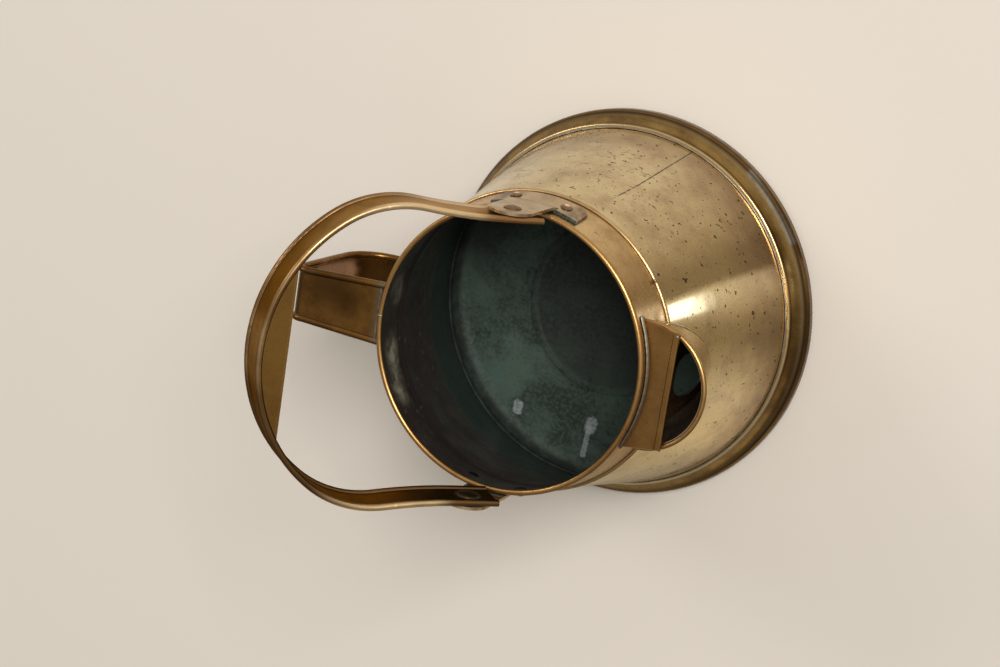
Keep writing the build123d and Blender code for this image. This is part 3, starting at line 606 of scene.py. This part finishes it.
# ---------------------------------------------------------------------------------------------
# Neck: a collar of brass let into the body, with a bead that stops it at the joint, and a round
# wire soldered along its rim, its ends meeting above the back handle. It has browned; a painted
# shade darkens its side between the spout and the right ear.
# ---------------------------------------------------------------------------------------------

RIM_RADIUS = 0.0777
RIM_HEIGHT = 0.1632
RIM_WIRE_RADIUS = 0.0016
NECK_SHADE = (0.38, 0.23, 0.1, 1.0)
NECK_SHADE_SIDE = ((0.0525, -0.0605, 0.146), (0.0745, -0.0275, 0.146))
BLOB = ((0.0672, 0.0502, 0.1361), (0.0659, 0.0519, 0.1363))

neck_brass = old_brass("neck_brass", (0.76, 0.53, 0.26, 1.0), (0.4, 0.22, 0.09, 1.0), 0.46, gloss=0.25,
                       wear=0.0, depth=0.0005)
# Painted shade: the neck darkened between the spout and the right ear.
neck_brass.lay(0.62, NECK_SHADE, neck_brass.mark(*NECK_SHADE_SIDE, width=0.026, ragged=0.15, full=0.3))
rim_brass = old_brass("rim_brass", (0.58, 0.34, 0.125, 1.0), (0.28, 0.14, 0.048, 1.0), 0.5, gloss=0.3,
                      wear=0.0, pitting=0.4, dirt_and_shade=0.7, depth=0.0003)
line_inside(dress("neck_collar", neck_brass, bare_wall))
dress("rim_wire", rim_brass)


def rim_joint():
    """Points over the rim's wire, where its two ends meet."""
    places = []
    for turn in range(0, 181, 20):
        out = Vector((-math.cos(math.radians(turn)), 0.0, math.sin(math.radians(turn))))
        places.append((Vector((-RIM_RADIUS, 0.0, RIM_HEIGHT)) + out * RIM_WIRE_RADIUS, out))
    return places


bead("rim_joint", rim_joint(), 0.0005, solder, flat=0.5)
bead("neck_blob", line_places(*BLOB, 4, (0.7, 0.5, 0.5)), 0.0008, solder)


# ---------------------------------------------------------------------------------------------
# Spout: a cone cut to the can and soldered over a hole in the body, with a wired lip. A plate
# with a folded front edge bridges the back of its mouth, soldered to the neck under the rim.
# ---------------------------------------------------------------------------------------------

SPOUT_LOW = 0.095           # height of the cone's lowest full section
SPOUT_HEIGHT = 0.0606       # from there to the lip
SPOUT_LOW_RADIUS = 0.0242
SPOUT_SPREAD = 0.0092       # how much wider the lip is
SPOUT_LOW_X = 0.0668
SPOUT_LEAN = 0.0105         # how much further out the lip's middle is
JOINT_LOW = 0.1             # height where the solder along the spout's sides starts
JOINT_HEIGHT = 0.0538
BODY_TAPER = 0.19728        # how much the body draws in for each metre up
NECK_LOW = 0.1351
NECK_LOW_RADIUS = 0.0822
NECK_TAPER = 0.15
BRIDGE_SEAM_RADIUS = 0.0798
BRIDGE_SEAM_HEIGHT = 0.158
BRIDGE_SEAM_ANGLE = 27.5
HEM_SEAM = ((0.0914, 0.031, 0.1586), (0.0932, 0.0305, 0.1584))

spout_brass = old_brass("spout_brass", (0.8, 0.62, 0.35, 1.0), (0.46, 0.29, 0.15, 1.0), 0.4, gloss=0.18,
                        rubbed=RUBBED_GOLD_AND_HIGHLIGHT, wear=0.4, dirt_and_shade=0.6)
line_inside(dress("spout_shell", spout_brass, bare_wall), middle_x=SPOUT_LOW_X + SPOUT_LEAN)
dress("spout_lip_wire", rim_brass)
plate_brass = old_brass("plate_brass", (0.36, 0.195, 0.06, 1.0), (0.2, 0.1, 0.032, 1.0), 0.5, gloss=0.26,
                        pitting=0.3, rubbed=(0.66, 0.4, 0.16, 1.0), wear=0.9, wear_reach=0.0009)
dress("spout_bridge_plate", plate_brass)
dull_solder = old_brass("dull_solder", (0.3, 0.27, 0.21, 1.0), (0.17, 0.12, 0.07, 1.0), 0.5, gloss=0.45,
                        wear=0.0, dirt_and_shade=0.5, dirt_and_shade_reach=0.002, dents=0.0)
bridge_seam = arc_places(BRIDGE_SEAM_RADIUS, BRIDGE_SEAM_HEIGHT, -BRIDGE_SEAM_ANGLE, BRIDGE_SEAM_ANGLE, 48)
bead("bridge_solder", bridge_seam, 0.0015, dull_solder, flat=0.3, lumps=0.15)


def spout_joint(side, count=26):
    """Where the spout's cone meets the body and the neck, from low to high, on one side."""
    places = []
    for index in range(count):
        z = JOINT_LOW + JOINT_HEIGHT * index / (count - 1)
        share = (z - SPOUT_LOW) / SPOUT_HEIGHT
        middle = SPOUT_LOW_X + SPOUT_LEAN * share
        radius = SPOUT_LOW_RADIUS + SPOUT_SPREAD * share
        can = BODY_LOW_RADIUS - BODY_TAPER * (z - FOOT_TOP)
        if z > NECK_LOW:
            can = NECK_LOW_RADIUS - NECK_TAPER * (z - NECK_LOW)
        x = (can * can - radius * radius + middle * middle) / (2 * middle)
        y = side * math.sqrt(can * can - x * x)
        places.append((Vector((x, y, z)), Vector((x, y + side * 0.03, 0.0)).normalized()))
    return places


for side, name in ((1, "left"), (-1, "right")):
    bead("spout_solder_" + name, spout_joint(side), 0.0007, spout_brass, lumps=0.2)
bead("hem_solder", line_places(*HEM_SEAM, 4, (0, 0, 1)), 0.0011, solder)


# ---------------------------------------------------------------------------------------------
# Back handle: a brass strap with both edges rolled over iron wires, bent to a bracket, its top
# arm wider at the neck, soldered to the neck above and to the body below.
# ---------------------------------------------------------------------------------------------

HANDLE_BROWN = (0.27, 0.135, 0.033, 1.0)
HANDLE_DARK = (0.1, 0.045, 0.013, 1.0)
HANDLE_RUBBED = (0.6, 0.34, 0.11, 1.0)
WEB_SHADE_BROWN = (0.06, 0.027, 0.009, 1.0)
SOLDER_HAZE = (0.2, 0.19, 0.14, 1.0)
PAINTED_REFLECTION = (0.4, 0.23, 0.135, 1.0)
WEB_SHADE = ((-0.115, 0.009, 0.1635), (-0.1, 0.004, 0.1635))
NECK_HAZE = ((-0.0795, -0.0165, 0.162), (-0.0795, 0.0165, 0.162))
REFLECTION_PATCH = ((-0.129, 0.004, 0.113), (-0.1296, 0.006, 0.14))
TOP_SEAM = ((-0.0806, -0.0158, 0.1611), (-0.0806, 0.0158, 0.1611))
LOW_SEAM = ((-0.0914, -0.0152, 0.0916), (-0.0914, 0.0152, 0.0916))


def make_handle_brass():
    """Dark brass with painted shade on the top arm, hazed by solder at the neck, with a painted pink-brown
    reflection on the inner face of its upright."""
    brass = old_brass("handle_brass", HANDLE_BROWN, HANDLE_DARK, 0.52, gloss=0.24, rubbed=HANDLE_RUBBED,
                      wear=0.4, wear_reach=0.001, dirt_and_shade=0.9)
    tree = brass.tree
    # Painted shade: the top arm's web darkened towards its middle.
    brass.lay(0.75, WEB_SHADE_BROWN, brass.mark(*WEB_SHADE, width=0.021, ragged=0.15, full=0.0))
    brass.lay(0.5, SOLDER_HAZE, brass.mark(*NECK_HAZE, width=0.0065, ragged=0.15, full=0.0))
    # A painted reflection: a pink-brown patch on the upright's inner face, made less metallic so it shows as
    # colour.
    facing = axes(tree, add(tree, "ShaderNodeNewGeometry").outputs["Normal"])[0]
    patch = brass.mark(*REFLECTION_PATCH, width=0.0125, ragged=0.1, full=0.25)
    reflection_mask = part_of(tree, patch, step(tree, facing, 0.2, 0.6))
    brass.lay(1.0, PAINTED_REFLECTION, reflection_mask)
    feed(tree, brass.shader.inputs["Metallic"], step(tree, reflection_mask, 0.0, 1.0, 1.0, 0.2))
    return brass


dress("back_handle", make_handle_brass())
for side in ("left", "right"):
    dress("back_handle_wire_" + side, iron)
handle_crust = green_crust("solder_crust", (0.07, 0.055, 0.035, 1.0), (0.17, 0.15, 0.105, 1.0), 0.4)
bead("handle_solder_top", line_places(*TOP_SEAM, 24, (-1, 0, 2)), 0.0011, handle_crust,
     flat=0.6, lumps=0.12)
bead("handle_solder_low", line_places(*LOW_SEAM, 20, (-1, 0, 1)), 0.0011, handle_crust,
     lumps=0.35)


# ---------------------------------------------------------------------------------------------
# Ears: two plates of brass that carry the bail, each riveted to the neck with two copper rivets
# and soldered round its edges, where it has gone green. A pin through each ear holds the bail.
# ---------------------------------------------------------------------------------------------

RIVET_HEIGHT = 0.1485
RIVET_FROM_MIDDLE = 0.0145
RIVET_Y = 0.0791            # about where a rivet leaves the neck's wall
RIVET_REACH = 0.006         # how far a rivet's marks reach along it
EAR_EDGE_RADIUS = 0.0801
EAR_EDGE_HEIGHT = 0.1571
EAR_EDGES = (("front", -18.5, -9.0), ("back", 9.0, 18.5))   # in degrees from the ear's middle
EAR_RIVETS = [Vector((x, side * RIVET_Y, RIVET_HEIGHT))
              for side in (1, -1) for x in (RIVET_FROM_MIDDLE, -RIVET_FROM_MIDDLE)]
EAR_PALE = (0.7, 0.52, 0.31, 1.0)
EAR_BROWN = (0.32, 0.2, 0.12, 1.0)
EAR_RUBBED = (0.8, 0.62, 0.38, 1.0)
EAR_SIDES = (0.14, 0.09, 0.05, 1.0)
EAR_GREEN_DARK = (0.028, 0.034, 0.027, 1.0)
EAR_GREEN_PALE = (0.1, 0.12, 0.097, 1.0)


def along_rivet(rivet):
    """A step along a rivet, away from the can."""
    return Vector((rivet.x, rivet.y, 0.0)).normalized() * RIVET_REACH


def make_ear_brass():
    """Dull brass, darker at the sides, with verdigris on the shoulders, in corners and round rivets."""
    brass = old_brass("ear_brass", EAR_PALE, EAR_BROWN, 0.5, gloss=0.26, pitting=0.9, rubbed=EAR_RUBBED,
                      wear=0.35, dirt_and_shade=0.9)
    tree = brass.tree
    from_middle = calculate(tree, "ABSOLUTE", axes(tree)[0])
    sides = part_of(tree, step(tree, from_middle, 0.0155, 0.0215),
                    brass.cloud(160.0, 0.35, 0.6, detail=4.0, least=0.4))
    brass.lay(0.75, EAR_SIDES, sides)
    green = place(tree, verdigris, Dark=EAR_GREEN_DARK, Pale=EAR_GREEN_PALE, Powder=0.35)
    shoulder = brass.band(0.1562, 0.158, 0.0016)
    corners = place(tree, hollows, Reach=0.005, Amount=0.9)["Mask"]
    round_rivets = []
    for rivet in EAR_RIVETS:
        out = along_rivet(rivet)
        ring = brass.mark(tuple(rivet - out), tuple(rivet + out), width=0.0046, ragged=0.4)
        round_rivets.append(part_of(tree, ring, 0.5))
    spread = most(tree, part_of(tree, shoulder, 0.6), corners, *round_rivets)
    brass.lay(1.0, green["Color"], spread)
    feed(tree, brass.shader.inputs["Metallic"], step(tree, spread, 0.15, 0.6, 1.0, 0.0))
    return brass


COPPER_BROWN = (0.36, 0.23, 0.14, 1.0)
COPPER_DARK = (0.18, 0.11, 0.07, 1.0)
COPPER_HIGHLIGHT = (1.0, 0.62, 0.42, 1.0)
TAIL_DARK = (0.03, 0.026, 0.022, 1.0)


def make_copper():
    """Copper with a painted highlight on each head outside the can and dark tails inside it."""
    copper = old_brass("copper", COPPER_BROWN, COPPER_DARK, 0.5, pitting=0.3, gloss=0.24, wear=0.0, dirt_and_shade=0.9,
                       dents=0.0)
    tree = copper.tree
    # Painted highlights: a bright peach spot on each rivet's head, less metallic than the rest.
    head_highlights = []
    for rivet in EAR_RIVETS:
        head = tuple(rivet + along_rivet(rivet))
        head_highlights.append(copper.mark(tuple(rivet), head, width=0.0023, ragged=0.1, full=0.3))
        copper.lay(1.0, COPPER_HIGHLIGHT, head_highlights[-1])
    feed(tree, copper.shader.inputs["Metallic"], step(tree, most(tree, *head_highlights), 0.0, 1.0, 1.0, 0.35))
    sideways = calculate(tree, "ABSOLUTE", axes(tree)[1])
    copper.lay(0.9, TAIL_DARK, step(tree, sideways, RIVET_Y + 0.0001, RIVET_Y - 0.0007))
    return copper


ear_brass = make_ear_brass()
pin_brass = old_brass("pin_brass", (0.36, 0.24, 0.12, 1.0), (0.12, 0.075, 0.04, 1.0), 0.6, gloss=0.28,
                      wear=0.4)
for side in ("left", "right"):
    dress("ear_" + side, ear_brass)
    dress("pivot_pin_" + side, pin_brass)
dress("pivot_washers", pin_brass)
dress("ear_rivets", make_copper())

ear_crust = green_crust("ear_verdigris", (0.018, 0.026, 0.02, 1.0), (0.09, 0.125, 0.1, 1.0), 0.3)
for middle, name in ((90, "left"), (-90, "right")):
    for end, first, last in EAR_EDGES:
        edge = arc_places(EAR_EDGE_RADIUS, EAR_EDGE_HEIGHT, middle + first, middle + last, 16)
        bead(f"ear_crust_{name}_{end}", edge, 0.00055, ear_crust, flat=0.8, lumps=0.5)


# ---------------------------------------------------------------------------------------------
# Bail: a brass strap with both edges rolled over iron wires, bent to an arch. A hollow grip of
# three thinner plates is soldered in under its crown.
# ---------------------------------------------------------------------------------------------

PIVOT_HEIGHT = 0.184
STRAP_ACROSS = (0.731, 0.0, 0.682)      # from the strap's lower roll to its upper one
BAIL_BROWN = (0.52, 0.34, 0.165, 1.0)
BAIL_DARK = (0.22, 0.125, 0.055, 1.0)
BAIL_GLINT = (0.6, 0.42, 0.28, 1.0)
BAIL_SHADE = (0.15, 0.078, 0.028, 1.0)
LEG_LIGHT = (0.92, 0.73, 0.5, 1.0)
ROLL_HIGHLIGHT = (0.98, 0.72, 0.4, 1.0)
STRAP_END = (0.36, 0.18, 0.07, 1.0)
PIN_RING = (0.5, 0.52, 0.47, 1.0)
PIN_RING_RADIUS = 0.0062


def make_bail_brass():
    """Brown brass with painted shade round its bends and on the right leg, painted light on the left leg, a
    painted highlight on the upper roll beside it, a redder left end, and a grey ring where each pin's head
    turns."""
    brass = old_brass("bail_brass", BAIL_BROWN, BAIL_DARK, 0.52, gloss=0.29, wear=0.0, dirt_and_shade=0.9,
                      dirt_and_shade_reach=0.003, depth=0.0006)
    brass.shader.inputs["Specular Tint"].default_value = BAIL_GLINT
    tree = brass.tree
    x, y, z = axes(tree)
    # Painted shade: the bends of the arch and the whole right leg darkened.
    right_leg = step(tree, y, -0.02, -0.05)
    off_middle = step(tree, calculate(tree, "ABSOLUTE", y), 0.008, 0.024)
    bends = part_of(tree, step(tree, x, -0.05, -0.082), off_middle)
    brass.lay(0.8, BAIL_SHADE, most(tree, bends, right_leg))
    # Painted light: the left leg paled where the light falls on it.
    left_leg = part_of(tree, step(tree, x, -0.055, -0.03), step(tree, x, -0.006, -0.018))
    left_leg = part_of(tree, left_leg, step(tree, y, 0.05, 0.07))
    brass.lay(0.6, LEG_LIGHT, left_leg)
    # A painted highlight along the upper roll, beside the left leg.
    across = add(tree, "ShaderNodeVectorMath", operation="DOT_PRODUCT")
    across.inputs[1].default_value = STRAP_ACROSS
    feed(tree, across.inputs[0], position(tree))
    roll_highlight = step(tree, across.outputs["Value"], 0.1336, 0.1356)
    roll_highlight = part_of(tree, roll_highlight, step(tree, x, -0.056, -0.036))
    roll_highlight = part_of(tree, roll_highlight, step(tree, x, 0.002, -0.008))
    brass.lay(0.7, ROLL_HIGHLIGHT, roll_highlight)
    left_end = part_of(tree, step(tree, x, -0.008, 0.002), step(tree, y, 0.0, 0.03))
    brass.lay(0.75, STRAP_END, left_end)
    from_pin = distance_from_axis(tree, x, calculate(tree, "SUBTRACT", z, PIVOT_HEIGHT))
    brass.lay(0.6, PIN_RING, step(tree, away_from(tree, from_pin, PIN_RING_RADIUS), 0.0014, 0.0006))
    return brass


dress("bail_strap", make_bail_brass())
for side in ("upper", "lower"):
    dress("bail_wire_" + side, iron)
grip_brass = old_brass("grip_brass", (0.46, 0.25, 0.062, 1.0), (0.22, 0.105, 0.026, 1.0), 0.5, gloss=0.25,
                       rubbed=(0.7, 0.45, 0.18, 1.0), wear=0.4)
for name in ("grip_chord_plate", "grip_side_upper", "grip_side_lower"):
    dress(name, grip_brass)


# ---------------------------------------------------------------------------------------------
# Studio: a plain pale floor, soft light from the left ear's side, a card that only the brass
# mirrors, as it would a room with a window, and the camera where the photograph was taken from.
# ---------------------------------------------------------------------------------------------

FLOOR_HALF = 6.0
CARD_INNER = 0.117
CARD_OUTER = 0.8
CARD_HEIGHT = 0.0015
CARD_SIDES = 96
WINDOW_ANGLE = 20.5         # of its middle, in degrees
WINDOW_DISTANCE = 0.212
WINDOW_LIGHT = (2.4, 2.6, 2.9, 1.0)
SHADE_TINT = (0.76, 0.56, 0.31, 1.0)
LIGHT_TINT = (0.76, 0.7, 0.6, 1.0)
RIGHT_TINT = (0.76, 0.63, 0.42, 1.0)

# The card's brightness by angle round the can, in degrees from the spout, near the can and far out
NEAR_STOPS = (
    (-180, 0.6), (-100, 0.5), (-79, 0.5), (-57, 0.62), (-45, 0.85), (-30, 0.82), (-20, 0.78), (-9, 0.54),
    (2, 0.36), (9, 0.42), (14, 0.6), (20, 0.85), (26, 0.95), (27.5, 0.35), (36, 0.36), (44, 0.51),
    (56, 0.74), (68, 0.85), (80, 0.97), (100, 0.93), (120, 0.86), (180, 0.9))
FAR_STOPS = (
    (-180, 0.5), (-95, 0.3), (-79, 0.2), (-57, 0.28), (-45, 0.2), (-20, 0.2), (9, 0.23), (26, 0.3),
    (36, 0.48), (50, 0.85), (62, 0.97), (80, 1.0), (100, 0.93), (120, 0.86), (180, 0.9))


def stage_mesh(name, corners, faces, material):
    """A flat piece of the studio."""
    mesh = bpy.data.meshes.new(name)
    mesh.from_pydata(corners, [], faces)
    mesh.materials.append(material)
    piece = bpy.data.objects.new(name, mesh)
    bpy.context.collection.objects.link(piece)
    return piece


floor_paint = Finish("floor_paint", Base_Color=(0.665, 0.625, 0.575, 1.0), Roughness=0.9,
                     Specular_IOR_Level=0.0)
stage_mesh("floor", [(x * FLOOR_HALF, y * FLOOR_HALF, 0) for x, y in ((-1, -1), (1, -1), (1, 1), (-1, 1))],
           [(0, 1, 2, 3)], floor_paint.material)


def ramp(tree, turn, stops):
    """A brightness by angle, read at a share of the turn from -180 to 180 degrees."""
    node = add(tree, "ShaderNodeValToRGB")
    feed(tree, node.inputs["Fac"], turn)
    points = node.color_ramp.elements
    while len(points) > 1:
        points.remove(points[-1])
    for index, (degrees, level) in enumerate(stops):
        share = (degrees + 180) / 360
        point = points.new(share) if index else points[0]
        point.position = share
        point.color = (level, level, level, 1.0)
    return node.outputs["Color"]


def make_room_paper():
    """The card's light: the room's light and shade by direction, with one window in it."""
    paper = bpy.data.materials.new("room_card")
    paper.use_nodes = True
    tree = paper.node_tree
    tree.nodes.clear()
    x, y = axes(tree)[:2]
    angle = calculate(tree, "DEGREES", calculate(tree, "ARCTAN2", y, x))
    turn = calculate(tree, "MULTIPLY_ADD", angle, 1 / 360, 0.5)
    distance = distance_from_axis(tree, x, y)
    level = blend(tree, step(tree, distance, 0.225, 0.29), ramp(tree, turn, NEAR_STOPS),
                  ramp(tree, turn, FAR_STOPS))
    level = part_of(tree, level, step(tree, distance, 0.118, 0.138, 0.72, 1.0))
    window = part_of(tree, step(tree, away_from(tree, angle, WINDOW_ANGLE), 5.0, 3.0),
                     step(tree, away_from(tree, distance, WINDOW_DISTANCE), 0.03, 0.018))
    warmth = blend(tree, level, SHADE_TINT, LIGHT_TINT)
    warmth = blend(tree, step(tree, angle, -20.0, -45.0, 0.0, 0.8), warmth, RIGHT_TINT)
    tint = add(tree, "ShaderNodeMix", data_type="RGBA", blend_type="MULTIPLY")
    for socket, value in zip((tint.inputs[0], tint.inputs[6], tint.inputs[7]), (1.0, level, warmth)):
        feed(tree, socket, value)
    light = add(tree, "ShaderNodeEmission", Strength=1.0)
    feed(tree, light.inputs["Color"], blend(tree, window, tint.outputs[2], WINDOW_LIGHT))
    feed(tree, add(tree, "ShaderNodeOutputMaterial").inputs["Surface"], light.outputs["Emission"])
    paper.cycles.emission_sampling = "NONE"
    return paper


def make_room_card():
    """A ring of card round the can's foot that only the brass mirrors."""
    turns = [math.tau * index / CARD_SIDES for index in range(CARD_SIDES)]
    corners = [(radius * math.cos(turn), radius * math.sin(turn), CARD_HEIGHT)
               for radius in (CARD_INNER, CARD_OUTER) for turn in turns]
    faces = []
    for index in range(CARD_SIDES):
        following = (index + 1) % CARD_SIDES
        faces.append((index, following, following + CARD_SIDES, index + CARD_SIDES))
    card = stage_mesh("room_card", corners, faces, make_room_paper())
    card.visible_camera = False
    card.visible_diffuse = False
    card.visible_transmission = False
    card.visible_shadow = False


make_room_card()

LIGHT_AIM = Vector((0, 0, 0.1))


def soft_light(name, location, size, power, tint):
    """A square soft light that looks at the can."""
    lamp = bpy.data.lights.new(name, "AREA")
    lamp.size = size
    lamp.energy = power
    lamp.color = tint
    light = bpy.data.objects.new(name, lamp)
    light.location = location
    light.rotation_mode = "QUATERNION"
    light.rotation_quaternion = (LIGHT_AIM - Vector(location)).to_track_quat("-Z", "Y")
    bpy.context.collection.objects.link(light)


soft_light("key_light", (1.65, 1.55, 3.3), 1.3, 112.0, (1.0, 0.96, 0.9))
soft_light("back_light", (-2.4, 1.4, 2.0), 1.2, 22.0, (1.0, 0.95, 0.88))

ROOM_BRIGHT_SIDE = (0.1, 0.6, 0.79)
ROOM_TINT = (1.0, 0.95, 0.88, 1.0)

room = bpy.data.worlds.new("room")
room.use_nodes = True
tree = room.node_tree
brightness = add(tree, "ShaderNodeVectorMath", operation="DOT_PRODUCT")
brightness.inputs[1].default_value = ROOM_BRIGHT_SIDE
feed(tree, brightness.inputs[0], add(tree, "ShaderNodeTexCoord").outputs["Generated"])
backdrop = tree.nodes["Background"]
feed(tree, backdrop.inputs["Strength"], step(tree, brightness.outputs["Value"], -0.2, 0.95, 0.15, 0.62))
backdrop.inputs["Color"].default_value = ROOM_TINT
bpy.context.scene.world = room
bpy.context.scene.view_settings.view_transform = "Standard"

CAMERA_PLACE = (0.509817, 0.346437, 1.307190)
CAMERA_RIGHT = Vector((0.8842, 0.1496, -0.4424)).normalized()
CAMERA_BACK = Vector((0.3965, 0.2603, 0.8804)).normalized()
LENS_LENGTH = 87.67
SENSOR_WIDTH = 36.0

lens = bpy.data.cameras.new("camera")
lens.lens = LENS_LENGTH
lens.sensor_width = SENSOR_WIDTH
camera = bpy.data.objects.new("camera", lens)
turned = Matrix((CAMERA_RIGHT, CAMERA_BACK.cross(CAMERA_RIGHT), CAMERA_BACK)).transposed()
camera.matrix_world = Matrix.Translation(CAMERA_PLACE) @ turned.to_4x4()
bpy.context.collection.objects.link(camera)
bpy.context.scene.camera = camera
